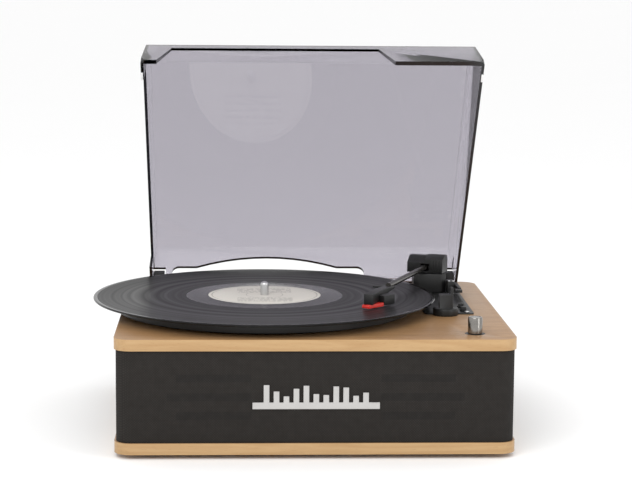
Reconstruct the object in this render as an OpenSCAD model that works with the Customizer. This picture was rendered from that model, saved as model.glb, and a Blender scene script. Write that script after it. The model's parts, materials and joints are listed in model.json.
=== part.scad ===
// Belt-drive turntable with built-in stereo speakers, a tinted dust cover and a record on the platter.
// Origin: centre of the plinth's footprint on the table. +X right, +Y back, +Z up. Millimetres.

/* [Plinth] */
// Width of the wooden boards, left to right
plinth_w = 330; // [260:1:420]
// Depth of the wooden boards, front to back
plinth_d = 300; // [260:1:400]
// Height of the cloth-covered middle
cloth_h = 76.5; // [60:0.5:110]
// Thickness of the top board and of the base board
board_t = 9.5; // [6:0.5:16]
// Plan radius of the corners of the boards
corner_r = 14; // [8:0.5:25]
// Height of the rubber feet
foot_h = 4; // [2:0.5:12]

/* [Platter and record] */
// Diameter of the record
record_d = 301; // [250:1:305]
// Thickness of the record
record_t = 2; // [1:0.1:4]
// Diameter of the platter
platter_d = 260; // [180:1:280]
// How far the platter's axis stands left of the middle
platter_left = 40; // [20:1:60]
// Diameter of the spindle
spindle_d = 7.2; // [6:0.1:8]
// Height of the spindle above the record
spindle_up = 12; // [6:0.5:20]

/* [Tonearm] */
// Distance from the arm's upright pivot to the stylus
arm_reach = 178; // [160:1:190]
// Angle of the arm to the sides of the plinth, over the record
arm_turn = 21.7; // [5:0.1:36]
// Diameter of the arm tube
tube_d = 5; // [4:0.5:7]
// Height of the arm's lift axle above the top board
arm_h = 24; // [22:0.5:30]

/* [Dust cover] */
// Width of the dust cover at its free edge
lid_w = 294; // [240:1:380]
// Angle that the cover stands open
lid_open = 52; // [0:1:60]
// Height of the cover's panel above the top board at the front fold, closed
lid_h = 59; // [50:1:80]
// Thickness of the cover's sheet
lid_t = 2.5; // [2:0.5:4]

/* [Front] */
// Width of the badge's bar
badge_w = 104; // [60:1:140]
// Width of the upper and lower speaker slots
slot_w = 61; // [40:1:66]
// Diameter of the speakers
speaker_d = 76; // [50:1:80]
// Diameter of the volume knob
knob_d = 12; // [8:0.5:20]
// Height of the volume knob
knob_h = 14; // [8:0.5:22]

/* [Hidden] */
$fn = 96;
eps = 0.01;
run_gap = 0.05;

// Levels, from the table up
base_z = foot_h;
cloth_z = base_z + board_t;
top_z = cloth_z + cloth_h;
deck_z = top_z + board_t;

// Cabinet
cloth_inset = 1.5;
cloth_t = 1;
wall_inset = cloth_inset + cloth_t;
wall_t = 9;
wall_w = plinth_w - 2 * wall_inset;
wall_d = plinth_d - 2 * wall_inset;
wall_r = corner_r - wall_inset;
front_y = -wall_d / 2;
cloth_front_y = -plinth_d / 2 + cloth_inset;
baffle_w = wall_w - 2 * (wall_r + cloth_t);
baffle_back_y = front_y + wall_t;

// Feet
foot_r = 10;
foot_x = plinth_w / 2 - 30;
foot_y = plinth_d / 2 - 30;
foot_spots = [for (sx = [-1, 1], sy = [-1, 1]) [sx * foot_x, sy * foot_y]];
foot_screw_r = 1.8;
foot_head_r = 3.6;
foot_head_t = 1.6;
foot_screw_up = 10;

// Speakers and slots
speaker_x = 87 * plinth_w / 330;
speaker_z = cloth_z + cloth_h / 2;
slot_gap = 15.6;
slot_h = 6.5;
slot_in = speaker_x - slot_w / 2 - 3.5;
slot_extra = 7.5;
flange_t = 2.5;
basket_deep = 15;
basket_wall = 1.5;
basket_small_r = speaker_d * 0.3;
magnet_r = speaker_d * 0.29;
magnet_t = 11;
cone_t = 0.8;

// Badge
badge_t = 1.5;
badge_z = speaker_z - 7;
badge_bar_h = 5.5;
badge_count = 11;
badge_bar_w = badge_w * 0.045;
badge_reach = badge_w * 0.39;
badge_low = 5;
badge_high = 14.5;

// Platter
axis_x = -platter_left;
axis_y = -2;
mat_t = 2;
disc_low = 6;
disc_top = 8.5;
skirt_low = 1.5;
skirt_t = 2.5;
platter_r = platter_d / 2;
record_low = disc_top + mat_t;
record_top = record_low + record_t;
record_r = record_d / 2;
label_r = 49.6;
label_t = 0.15;
hole_r = spindle_d / 2 + run_gap;
neck_r = spindle_d / 2 - 0.2;
neck_hole_r = neck_r + run_gap;
hub_r = 10;
hub_low = 1.3;
bush_r = 7;
bush_up = 0.8;
bush_down = board_t + 5;
bush_floor = 1.5;
spindle_low = bush_floor - bush_down + run_gap;
spindle_dome = 1.6;

// Belt drive
ring_r = 62;
ring_t = 2.5;
ring_low = 1.8;
pulley_r = 5;
belt_gap = 0.12;
belt_steps = 48;
belt_t = 0.9;
belt_w = 3;
belt_low = 2.3;
drive_len = 85;
drive_turn = 135;
motor_x = axis_x + drive_len * cos(drive_turn);
motor_y = axis_y + drive_len * sin(drive_turn);
motor_r = 17;
motor_h = 24;
motor_ear = 24;
motor_ear_t = 2;
shaft_r = 1;
pulley_hole_r = 8;
pulley_low = 1.2;
pulley_top = 5.6;
belt_lean = asin((ring_r - pulley_r) / drive_len);

// Tonearm
arm_x = 114 * plinth_w / 330;
arm_y = 92 * plinth_d / 300;
tip_down = 11.2;
tip_clear = 0.2;
arm_droop = asin((arm_h - record_top - tip_down - tip_clear) / arm_reach);
plate_left = arm_x - 14;
plate_right = plinth_w / 2 - 22;
plate_front = -32;
plate_back = arm_y + 26;
plate_t = 2.2;
plate_sink = 1.2;
plate_top = plate_t - plate_sink;
plate_r = 3;
tower_w = 30;
tower_d = 28;
tower_top = arm_h - 5.5;
tower_cut = 4;
tower_x = arm_x + 1.5;
post_r = 4;
post_low = -6;
yoke_low = tower_top + 0.5;
yoke_front_top = arm_h + 7.7;
yoke_top = arm_h + 11;
yoke_w = 34;
yoke_d = 18;
yoke_slot_w = tube_d + 3;
lobe_drop = 1;
lobe_front_drop = 3.3;
yoke_slot_floor = yoke_low + 1.5;
yoke_slot_top = arm_h + tube_d / 2 + 0.9;
yoke_back_t = 1.5;
axle_r = 1.5;
axle_len = 28;
tube_back = 6;
shell_w = 8;
shell_back = 118;
shell_front = arm_reach + 4;
shell_step = shell_back + 18;
shell_deep = shell_back + 34;
shell_up_back = -0.5;
shell_up_front = 1.3;
shell_down_back = 3;
shell_down_front = 7.7;
tube_front = shell_back + 6;
guard_turn = 23;
stylus_w = 8;
stylus_out = 5.5;
stylus_back = 14;
stylus_t = 3;
stylus_down = shell_down_front + stylus_t;
stylus_bevel = 1.4;
cart_w = 9;
cart_len = 14;
cart_up = 2;
cart_down = stylus_down - 0.6;
tip_r = 0.35;
tip_point_r = 0.1;
finger_len = 10;
finger_d = 4;
finger_t = 1.8;
finger_from = shell_back + 4;

// Arm rest
rest_x = arm_x + 3.5;
rest_y = -34;
rest_r = 11;
rest_disc_top = 6.5;
rest_w = 12;
rest_d = 9;
rest_shelf = arm_h - tube_d / 2 - 2.9;
rest_wall_t = 2.2;
rest_wall_up = 6;

// Cue lever and switches
cue_y = arm_y - 12;
cue_block_w = 6.5;
cue_x = tower_x + tower_w / 2 + 0.8 + cue_block_w / 2;
cue_block_d = 16;
cue_block_h = 12;
cue_axle_z = 8;
cue_axle_r = 1.6;
cue_len = 30;
cue_arm_w = 3;
cue_pad_w = 6;
cue_pad_len = 9;
switch_x = plate_right - 8;
speed_y = plate_front + 32;
stop_y = speed_y - 18;
switch_well = [6, 12];
switch_knob = [4.4, 4];
switch_up = 3.5;
switch_base = [9, 12, 6];

// Volume knob
knob_x = plinth_w / 2 - 32.6;
knob_y = -plinth_d / 2 + 28;
collar_r = knob_d / 2 + 2.6;
collar_t = 1.5;
knob_low = 0.3;
knob_edge = 0.9;
knob_shaft_r = 3;
pot_r = 8.5;
pot_t = 9;

// Dust cover, in its closed attitude: u runs forward from the hinge, w up from the top board
hinge_y = plinth_d / 2 - 20;
hinge_up = 8;
lid_rim = 1.5;
lid_len = hinge_y + plinth_d / 2 - 5;
lid_draft = 4.5;
rear_u = -4.5;
rear_fold = lid_h - 10;
front_fold_u = lid_len - 49.5;
nose_u = lid_len - 19;
nose_w = lid_h - 15;
lid_corner = 8;
notch_left = axis_x - 93;
notch_right = axis_x + 110;
notch_top = 35;
notch_lean = 12;
side_cut_w = 17;
side_cut_back = 20;
side_cut_front = lid_len - 22;
rear_cut_left = axis_x - 86;
rear_cut_right = axis_x + 97.5;
rear_end_r = 7;
rear_arc_x = axis_x + 4.5;
rear_arc = 67;
rear_flat_w = 22;
rear_arc_w = 34.3;
rear_side_w = 20.5;
rear_foot_w = 3;
rear_right_end = lid_w / 2 - 22;
ear_gap = 0.4;
ear_len = 18;
ear_top = 28;
bumper_len = 8;
bumper_gap = 0.1;
bumper_t = 1.6;

// Hinges
bracket_out = lid_w / 2 - lid_t - 1.6;
bracket_w = 10;
bracket_gap = 1;
rear_left_end = bracket_w + bracket_gap - bracket_out;
bracket_d = 15;
bracket_h = 12.5;
bracket_screw_r = 1.5;
pin_r = 2;
pin_in = 11;

// Rear panel and electronics
panel_x = plinth_w * 0.2;
panel_w = 116;
panel_h = 40;
panel_t = 2;
panel_hole_w = panel_w - 12;
panel_hole_h = panel_h - 12;
panel_z = cloth_z + cloth_h / 2;
panel_y = wall_d / 2 + panel_t;
panel_screw_x = panel_w / 2 - 3;
panel_screw_r = 1.2;
panel_screw_len = 6;
socket_x = [-40, -22];
jack_x = 4;
inlet_x = 36;
rca_r = 4.2;
rca_len = 9;
rca_bore = 1.7;
jack_r = 4;
jack_bore = 1.8;
jack_body_r = jack_r - 0.8;
jack_out = 1.5;
inlet_w = 11;
inlet_h = 11;
inlet_bore = 3.1;
inlet_pin = 1;
inlet_deep = 12.6;
inlet_out = 0.3;
inlet_bore_deep = 10;
socket_in = 9;
board_w = 118;
board_d = 62;
board_thick = 1.6;
standoff_r = 3;
standoff_h = 6;
board_x = panel_x;
board_y = plinth_d / 2 - 62;

// ---------- shared shapes ----------

// A flat rounded rectangle with true arcs at its corners.
module round_rect(w, d, r) {
    square([w - 2 * r, d], center = true);
    square([w, d - 2 * r], center = true);
    for (sx = [-1, 1], sy = [-1, 1])
        translate([sx * (w / 2 - r), sy * (d / 2 - r)]) circle(r);
}

// A rounded plate from z0 up.
module plate(w, d, r, z0, t) {
    translate([0, 0, z0]) linear_extrude(t) round_rect(w, d, r);
}

// A block centred in plan, from z0 to z1.
module block(x, y, w, d, z0, z1) {
    translate([x - w / 2, y - d / 2, z0]) cube([w, d, z1 - z0]);
}

// An upright round bar from z0 to z1.
module bar(x, y, r, z0, z1) {
    translate([x, y, z0]) cylinder(r = r, h = z1 - z0);
}

// An upright tube from z0 to z1.
module ring(x, y, r_in, r_out, z0, z1) {
    difference() {
        bar(x, y, r_out, z0, z1);
        bar(x, y, r_in, z0 - 1, z1 + 1);
    }
}

// Puts its children on the top board, at the arm's upright pivot, turned along the arm.
module along_arm() {
    translate([arm_x, arm_y, deck_z]) rotate([0, 0, -arm_turn]) children();
}

// The same, but tilted with the arm tube about the lift axle.
module along_tube() {
    along_arm() translate([0, 0, arm_h]) rotate([arm_droop, 0, 0]) children();
}

// Puts its children over the stylus, turned along the cartridge, with -Y to its front.
module along_guard() {
    along_tube() translate([0, -arm_reach, 0]) rotate([0, 0, -guard_turn]) children();
}

// Puts its children, drawn in the closed attitude, into the open attitude of the cover.
module opened() {
    translate([0, hinge_y, deck_z + hinge_up]) rotate([-lid_open, 0, 0])
        translate([0, -hinge_y, -deck_z - hinge_up]) children();
}

// ---------- plinth ----------

module base_board() {
    color("burlywood") difference() {
        plate(plinth_w, plinth_d, corner_r, base_z, board_t);
        for (p = foot_spots) bar(p[0], p[1], foot_screw_r, base_z - 1, base_z + foot_screw_up - 3);
    }
}

module rubber_feet() {
    color("dimgray") for (p = foot_spots) difference() {
        bar(p[0], p[1], foot_r, 0, foot_h);
        bar(p[0], p[1], foot_screw_r, -1, foot_h + 1);
        bar(p[0], p[1], foot_head_r, -1, foot_head_t + 0.4);
    }
}

module foot_screws() {
    color("silver") for (p = foot_spots) {
        bar(p[0], p[1], foot_screw_r, foot_head_t + 0.4, base_z + foot_screw_up - 4);
        bar(p[0], p[1], foot_head_r, 0.4, foot_head_t + 0.4);
    }
}

module cabinet_walls() {
    color("peru") difference() {
        plate(wall_w, wall_d, wall_r, cloth_z, cloth_h);
        plate(wall_w - 2 * wall_t, wall_d - 2 * wall_t, wall_r / 2, cloth_z - 1, cloth_h + 2);
        block(0, front_y, baffle_w, 2 * wall_t, cloth_z - 1, top_z + 1);
        block(panel_x, wall_d / 2, panel_hole_w, 3 * wall_t,
              panel_z - panel_hole_h / 2, panel_z + panel_hole_h / 2);
        for (s = [-1, 1]) on_panel(s * panel_screw_x)
            cylinder(r = panel_screw_r, h = 2 * panel_screw_len, center = true);
    }
}

// One slot right through the baffle, from x0 outward on the side given by its sign.
module slot_cut(side, len, z) {
    translate([side * (slot_in + len / 2), front_y + wall_t / 2, z])
        cube([len, 3 * wall_t, slot_h], center = true);
}

module front_baffle() {
    color("sienna") difference() {
        block(0, front_y + wall_t / 2, baffle_w, wall_t, cloth_z, top_z);
        for (side = [-1, 1]) {
            slot_cut(side, slot_w, speaker_z + slot_gap);
            slot_cut(side, slot_w + slot_extra, speaker_z);
            slot_cut(side, slot_w, speaker_z - slot_gap);
        }
    }
}

module grille_cloth() {
    cw = plinth_w - 2 * cloth_inset;
    cd = plinth_d - 2 * cloth_inset;
    color("#3a3632") difference() {
        plate(cw, cd, corner_r - cloth_inset, cloth_z, cloth_h);
        plate(wall_w, wall_d, wall_r, cloth_z - 1, cloth_h + 2);
        block(panel_x, plinth_d / 2, panel_w, 20,
              panel_z - panel_h / 2, panel_z + panel_h / 2);
    }
}

// A bar with a row of upright level bars on it, in the place of any lettering.
module badge() {
    color("gainsboro") translate([0, cloth_front_y - badge_t / 2, badge_z]) {
        cube([badge_w, badge_t, badge_bar_h], center = true);
        for (i = [0 : badge_count - 1]) {
            x = -badge_reach + 2 * badge_reach * i / (badge_count - 1);
            tall = badge_low + (badge_high - badge_low) * (1 + cos(97 * i)) / 2;
            translate([x, 0, badge_bar_h / 2 + tall / 2 - eps])
                cube([badge_bar_w, badge_t, tall], center = true);
        }
    }
}

// ---------- speakers ----------

// Turns an upright round shape so that its axis runs back from the baffle.
module behind_baffle(side) {
    translate([side * speaker_x, baffle_back_y, speaker_z]) rotate([-90, 0, 0]) children();
}

module speaker_basket(side) {
    r = speaker_d / 2;
    behind_baffle(side) difference() {
        union() {
            cylinder(r = r, h = flange_t);
            cylinder(r1 = r - 4, r2 = basket_small_r, h = basket_deep);
        }
        translate([0, 0, -eps])
            cylinder(r1 = r - 4 - basket_wall, r2 = basket_small_r - basket_wall, h = basket_deep - 2);
        translate([0, 0, -1]) cylinder(r = basket_small_r - 2 * basket_wall, h = basket_deep + 2);
    }
}

module speaker_cone(side) {
    r = speaker_d / 2 - 4 - basket_wall - 1;
    small_r = basket_small_r - 2 * basket_wall - 1;
    deep = basket_deep - 5;
    behind_baffle(side) translate([0, 0, 1]) difference() {
        cylinder(r1 = r, r2 = small_r, h = deep);
        translate([0, 0, -eps]) cylinder(r1 = r - cone_t, r2 = small_r - cone_t, h = deep - cone_t);
    }
}

module speaker_magnet(side) {
    behind_baffle(side) translate([0, 0, basket_deep]) cylinder(r = magnet_r, h = magnet_t);
}

module left_speaker_basket() { color("gray") speaker_basket(-1); }
module left_speaker_cone() { color("black") speaker_cone(-1); }
module left_speaker_magnet() { color("silver") speaker_magnet(-1); }
module right_speaker_basket() { color("gray") speaker_basket(1); }
module right_speaker_cone() { color("black") speaker_cone(1); }
module right_speaker_magnet() { color("silver") speaker_magnet(1); }

// ---------- electronics ----------

board_low = cloth_z + standoff_h;
board_top = board_low + board_thick;
board_holes = [for (sx = [-1, 1], sy = [-1, 1])
    [board_x + sx * (board_w / 2 - 6), board_y + sy * (board_d / 2 - 6)]];

module board_standoffs() {
    color("white") for (p = board_holes) bar(p[0], p[1], standoff_r, cloth_z, board_low);
}

module amplifier_board() {
    color("green") block(board_x, board_y, board_w, board_d, board_low, board_top);
}

module amplifier_parts() {
    color("#303050") {
        for (i = [0 : 3])
            bar(board_x - 42 + 14 * i, board_y + 14, 5, board_top, board_top + 13);
        for (i = [0 : 2])
            block(board_x - 40 + 20 * i, board_y - 14, 12, 8, board_top, board_top + 3);
        block(board_x + 42, board_y + 8, 18, 22, board_top, board_top + 16);
    }
}

module heat_sink() {
    color("silver") {
        block(board_x + 30, board_y - 18, 30, 3, board_top, board_top + 20);
        for (i = [0 : 4])
            block(board_x + 18 + 6 * i, board_y - 12.5, 1.5, 8 + eps, board_top, board_top + 20);
    }
}

// Puts its children on the outer face of the rear panel, axis pointing back.
module on_panel(x) {
    translate([panel_x + x, panel_y, panel_z]) rotate([-90, 0, 0]) children();
}

module rear_panel() {
    color("#202020") difference() {
        block(panel_x, panel_y - panel_t / 2, panel_w, panel_t, panel_z - panel_h / 2,
              panel_z + panel_h / 2);
        for (x = socket_x) on_panel(x) cylinder(r = rca_r - 1, h = 3 * panel_t, center = true);
        on_panel(jack_x) cylinder(r = jack_body_r, h = 3 * panel_t, center = true);
        on_panel(inlet_x) cube([inlet_w, inlet_h, 3 * panel_t], center = true);
        for (s = [-1, 1]) on_panel(s * panel_screw_x)
            cylinder(r = panel_screw_r, h = 3 * panel_t, center = true);
    }
}

module line_sockets() {
    color("gold") for (x = socket_x) on_panel(x) difference() {
        union() {
            translate([0, 0, -socket_in]) cylinder(r = rca_r - 1, h = socket_in);
            cylinder(r = rca_r, h = rca_len);
        }
        translate([0, 0, 1]) cylinder(r = rca_bore, h = rca_len);
    }
}

module aux_socket() {
    color("silver") on_panel(jack_x) difference() {
        union() {
            translate([0, 0, -socket_in - 1]) cylinder(r = jack_body_r, h = socket_in + 1);
            cylinder(r = jack_r, h = jack_out);
        }
        translate([0, 0, 1 - socket_in]) cylinder(r = jack_bore, h = socket_in + jack_out);
    }
}

module power_inlet() {
    color("black") on_panel(inlet_x) {
        difference() {
            translate([0, 0, inlet_out - inlet_deep / 2])
                cube([inlet_w, inlet_h, inlet_deep], center = true);
            translate([0, 0, -inlet_bore_deep]) cylinder(r = inlet_bore, h = inlet_deep);
        }
        translate([0, 0, -inlet_bore_deep - eps]) cylinder(r = inlet_pin, h = inlet_bore_deep);
    }
}

module panel_screws() {
    color("silver") for (s = [-1, 1]) on_panel(s * panel_screw_x) {
        translate([0, 0, -panel_screw_len]) cylinder(r = panel_screw_r, h = panel_screw_len);
        cylinder(r = 2 * panel_screw_r, h = panel_screw_r);
    }
}

// ---------- top board ----------

arm_plate_spots = [[plate_left + 6, plate_back - 6], [plate_right - 6, plate_back - 6],
                   [plate_right - 6, plate_front + 5]];

module plate_outline() {
    w = plate_right - plate_left;
    d = plate_back - plate_front;
    translate([plate_left + w / 2, plate_front + d / 2]) round_rect(w, d, plate_r);
}

module top_board() {
    color("burlywood") difference() {
        plate(plinth_w, plinth_d, corner_r, top_z, board_t);
        bar(axis_x, axis_y, bush_r, top_z - 1, deck_z + 1);
        bar(motor_x, motor_y, pulley_hole_r, top_z - 1, deck_z + 1);
        for (s = [-1, 1]) bar(motor_x + s * (motor_ear - 3), motor_y, 1.5, top_z - 1, top_z + 6);
        translate([0, 0, deck_z - plate_sink]) linear_extrude(5) plate_outline();
        bar(arm_x, arm_y, post_r + 2, top_z - 1, deck_z + 1);
        for (y = [speed_y, stop_y])
            block(switch_x, y, switch_base[0] + 1, switch_base[1] + 1, top_z - 1, deck_z + 1);
        for (p = arm_plate_spots) bar(p[0], p[1], 1.2, deck_z - 8, deck_z + 1);
        bar(knob_x, knob_y, collar_r, deck_z - collar_t, deck_z + 1);
        bar(knob_x, knob_y, knob_shaft_r + 2, top_z - 1, deck_z + 1);
        for (s = [-1, 1]) bar(s * (bracket_out - bracket_w / 2), hinge_y - 4, bracket_screw_r,
                              deck_z - 7, deck_z + 1);
    }
}

// ---------- drive and platter ----------

module bearing_bush() {
    color("goldenrod") difference() {
        union() {
            bar(axis_x, axis_y, bush_r, deck_z - bush_down, deck_z + bush_up);
            bar(axis_x, axis_y, bush_r + 4, top_z - 2, top_z);
        }
        bar(axis_x, axis_y, neck_hole_r, deck_z - bush_down + bush_floor, deck_z + bush_up + 1);
    }
}

module motor() {
    color("silver") difference() {
        union() {
            bar(motor_x, motor_y, motor_r, top_z - motor_h, top_z);
            block(motor_x, motor_y, 2 * motor_ear, 12, top_z - motor_ear_t, top_z);
        }
        bar(motor_x, motor_y, shaft_r + run_gap, top_z - 8, top_z + 1);
        for (s = [-1, 1])
            bar(motor_x + s * (motor_ear - 3), motor_y, 1.5, top_z - motor_ear_t - 1, top_z + 1);
    }
}

module motor_screws() {
    color("silver") for (s = [-1, 1]) {
        bar(motor_x + s * (motor_ear - 3), motor_y, 1.5, top_z - motor_ear_t, top_z + 5);
        bar(motor_x + s * (motor_ear - 3), motor_y, 2.6, top_z - motor_ear_t - 1.5, top_z - motor_ear_t);
    }
}

module motor_pulley() {
    color("goldenrod") {
        bar(motor_x, motor_y, pulley_r, deck_z + pulley_low, deck_z + pulley_top);
        bar(motor_x, motor_y, pulley_r + 1.3, deck_z + pulley_low, deck_z + belt_low - 0.3);
        bar(motor_x, motor_y, shaft_r, top_z - 7, deck_z + pulley_low + eps);
    }
}

// The closed path of the belt round the drive ring and the pulley, seen from above.
function belt_path(grow) = let (
    wrap = 90 - belt_lean,
    big = ring_r + belt_gap + grow,
    small = pulley_r + belt_gap + grow)
    concat(
        [for (i = [0 : belt_steps]) let (a = drive_turn + wrap + (360 - 2 * wrap) * i / belt_steps)
            [axis_x + big * cos(a), axis_y + big * sin(a)]],
        [for (i = [0 : belt_steps / 4]) let (a = drive_turn - wrap + 8 * wrap * i / belt_steps)
            [motor_x + small * cos(a), motor_y + small * sin(a)]]);

module drive_belt() {
    color("#1a1a1a") translate([0, 0, deck_z + belt_low]) difference() {
        linear_extrude(belt_w) polygon(belt_path(belt_t));
        translate([0, 0, -1]) linear_extrude(belt_w + 2) polygon(belt_path(0));
    }
}

module platter() {
    color("#151515") difference() {
        union() {
            bar(axis_x, axis_y, platter_r, deck_z + disc_low, deck_z + disc_top);
            ring(axis_x, axis_y, platter_r - skirt_t, platter_r, deck_z + skirt_low, deck_z + disc_top);
            ring(axis_x, axis_y, ring_r - ring_t, ring_r, deck_z + ring_low, deck_z + disc_top);
            bar(axis_x, axis_y, hub_r, deck_z + hub_low, deck_z + disc_top);
        }
        bar(axis_x, axis_y, neck_r, deck_z, deck_z + 20);
    }
}

module slipmat() {
    color("#242424")
        ring(axis_x, axis_y, hole_r, platter_r - 1, deck_z + disc_top, deck_z + record_low);
}

// A pin for the record's hole, on a slightly slimmer shaft that turns in the bush.
module spindle() {
    r = spindle_d / 2;
    top = record_top + spindle_up;
    color("silver") {
        bar(axis_x, axis_y, neck_r, deck_z + spindle_low, deck_z + record_top + eps);
        bar(axis_x, axis_y, r, deck_z + record_top, deck_z + top - spindle_dome);
        translate([axis_x, axis_y, deck_z + top - spindle_dome - eps])
            cylinder(r1 = r, r2 = r - spindle_dome, h = spindle_dome + eps);
    }
}

module record() {
    color("#101010") difference() {
        bar(axis_x, axis_y, record_r, deck_z + record_low, deck_z + record_top);
        bar(axis_x, axis_y, hole_r, deck_z, deck_z + 30);
        bar(axis_x, axis_y, label_r, deck_z + record_top - label_t, deck_z + 30);
    }
}

module record_label() {
    color("cornsilk")
        ring(axis_x, axis_y, hole_r, label_r, deck_z + record_top - label_t, deck_z + record_top);
}

// ---------- tonearm ----------

module arm_plate() {
    color("#181818") difference() {
        translate([0, 0, deck_z - plate_sink]) linear_extrude(plate_t) plate_outline();
        bar(arm_x, arm_y, post_r + run_gap, deck_z - 5, deck_z + 5);
        block(switch_x, speed_y, switch_well[0], switch_well[1], deck_z - 5, deck_z + 5);
        block(switch_x, stop_y, switch_well[0], switch_well[1], deck_z - 5, deck_z + 5);
        bar(rest_x, rest_y, rest_r, deck_z - 5, deck_z + 5);
        for (p = arm_plate_spots) bar(p[0], p[1], 1.2, deck_z - 5, deck_z + 5);
    }
}

module arm_plate_screws() {
    color("silver") for (p = arm_plate_spots) {
        bar(p[0], p[1], 1.2, deck_z - 7, deck_z + plate_top);
        bar(p[0], p[1], 2.2, deck_z + plate_top, deck_z + plate_top + 1);
    }
}

module arm_tower() {
    w = tower_w / 2;
    d = tower_d / 2;
    c = tower_cut;
    color("#1c1c1c") difference() {
        translate([tower_x, arm_y, deck_z + plate_top]) linear_extrude(tower_top - plate_top)
            polygon([[-w + c, -d], [w - c, -d], [w, -d + c], [w, d - c],
                     [w - c, d], [-w + c, d], [-w, d - c], [-w, -d + c]]);
        bar(arm_x, arm_y, post_r + run_gap, deck_z, deck_z + 40);
    }
}

module arm_rest() {
    color("#1c1c1c") {
        bar(rest_x, rest_y, rest_r, deck_z, deck_z + rest_disc_top);
        block(rest_x, rest_y - 2, rest_w, rest_d, deck_z + rest_disc_top - eps, deck_z + rest_shelf);
        block(rest_x + rest_w / 2 - rest_wall_t / 2, rest_y - 2, rest_wall_t, rest_d,
              deck_z + rest_shelf - eps, deck_z + rest_shelf + rest_wall_up);
    }
}

// The block that turns with the arm: a low lobe on the left, a taller ribbed part on the right.
module arm_yoke() {
    w = yoke_w / 2;
    d = yoke_d / 2;
    color("#202020") along_arm() difference() {
        union() {
            rotate([90, 0, 90]) translate([0, 0, -w]) linear_extrude(w)
                polygon([[-d, yoke_low], [d, yoke_low], [d, yoke_top - 3], [d - 3, yoke_top - lobe_drop],
                         [-d + 8, yoke_top - lobe_drop], [-d, yoke_front_top - lobe_front_drop]]);
            rotate([90, 0, 90]) linear_extrude(w)
                polygon([[-d, yoke_low], [d, yoke_low], [d, yoke_top - 3], [d - 3, yoke_top],
                         [-d + 8, yoke_top], [-d, yoke_front_top]]);
            for (i = [0 : 3])
                translate([6.5 + 2.8 * i, -d - 0.6, yoke_low + 1])
                    cube([1.2, 1, yoke_front_top - yoke_low - 2]);
        }
        translate([-yoke_slot_w / 2, -d - 2, yoke_slot_floor])
            cube([yoke_slot_w, 2 * d + 2 - yoke_back_t, yoke_slot_top - yoke_slot_floor]);
        translate([0, 0, arm_h]) rotate([0, 90, 0])
            cylinder(r = axle_r + run_gap, h = axle_len + 1, center = true);
    }
}

module arm_post() {
    color("silver") bar(arm_x, arm_y, post_r, deck_z + post_low, deck_z + yoke_low);
}

module lift_axle() {
    color("silver") along_arm() translate([0, 0, arm_h]) rotate([0, 90, 0])
        cylinder(r = axle_r, h = axle_len, center = true);
}

module arm_tube() {
    color("#55504a") difference() {
        along_tube() rotate([90, 0, 0]) translate([0, 0, -tube_back])
            cylinder(d = tube_d, h = tube_front + tube_back);
        along_arm() translate([0, 0, arm_h]) rotate([0, 90, 0])
            cylinder(r = axle_r, h = axle_len, center = true);
    }
}

// The headshell's side outline, drawn along the arm and carried across it.
module shell_bar(w) {
    rotate([90, 0, 90]) translate([0, 0, -w / 2]) linear_extrude(w)
        polygon([[-shell_front, -shell_down_front], [-shell_front, shell_up_front],
                 [-shell_deep, shell_up_front], [-shell_back, shell_up_back],
                 [-shell_back, -shell_down_back], [-shell_step, -shell_down_back - 0.5],
                 [-shell_deep, -shell_down_front]]);
}

module headshell() {
    color("#181818") along_tube() difference() {
        shell_bar(shell_w);
        rotate([90, 0, 0]) cylinder(d = tube_d, h = tube_front);
    }
}

module finger_lift() {
    color("#181818") along_tube()
        translate([-shell_w / 2 - finger_len, -finger_from - finger_d, shell_up_back - finger_t])
            cube([finger_len, finger_d, finger_t]);
}

module cartridge() {
    color("#101010") difference() {
        along_guard() translate([-cart_w / 2, stylus_back, -cart_down])
            cube([cart_w, cart_len, cart_down - cart_up]);
        along_tube() shell_bar(shell_w);
    }
}

// The red guard under the front of the headshell, with the needle's point below it.
module stylus() {
    color("red") along_guard() {
        rotate([90, 0, 90]) translate([0, 0, -stylus_w / 2]) linear_extrude(stylus_w)
            polygon([[-stylus_out, -shell_down_front - stylus_bevel], [stylus_bevel - stylus_out, -shell_down_front],
                     [stylus_back, -shell_down_front], [stylus_back, -stylus_down],
                     [-stylus_out, -stylus_down]]);
        translate([0, 0, -tip_down])
            cylinder(r1 = tip_point_r, r2 = tip_r, h = tip_down - stylus_down + eps);
    }
}

// ---------- cue lever and switches ----------

module cue_block() {
    color("#1c1c1c") difference() {
        block(cue_x, cue_y, cue_block_w, cue_block_d, deck_z + plate_top, deck_z + cue_block_h);
        translate([cue_x, cue_y, deck_z + cue_axle_z]) rotate([0, 90, 0])
            cylinder(r = cue_axle_r + run_gap, h = 30, center = true);
    }
}

module cue_screws() {
    color("silver") for (s = [-1, 1])
        bar(cue_x + 1.7 * s, cue_y - cue_block_d / 2 + 3, 1.3, deck_z + cue_block_h,
            deck_z + cue_block_h + 1);
}

module cue_lever() {
    x0 = cue_x + cue_block_w / 2 + 0.4;
    color("#181818") translate([0, cue_y, deck_z + cue_axle_z]) {
        translate([cue_x - cue_block_w / 2, 0, 0]) rotate([0, 90, 0])
            cylinder(r = cue_axle_r, h = cue_block_w + 1);
        translate([x0, -cue_len, -2]) cube([cue_arm_w, cue_len + 3, 4]);
        translate([x0 + cue_arm_w - cue_pad_w, -cue_len - cue_pad_len + eps, -1])
            cube([cue_pad_w, cue_pad_len, 2.4]);
    }
}

// The sliding cap of a switch, standing through its well in the plate.
module switch_cap(y) {
    block(switch_x, y, switch_knob[0], switch_knob[1], deck_z - plate_sink + 0.2,
          deck_z + plate_top + switch_up);
}

module speed_switch() { color("#303030") switch_cap(speed_y); }
module stop_switch() { color("#303030") switch_cap(stop_y); }

module switch_bodies() {
    color("silver") for (y = [speed_y, stop_y])
        block(switch_x, y, switch_base[0], switch_base[1],
              deck_z - plate_sink - switch_base[2], deck_z - plate_sink);
}

// ---------- volume ----------

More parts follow.
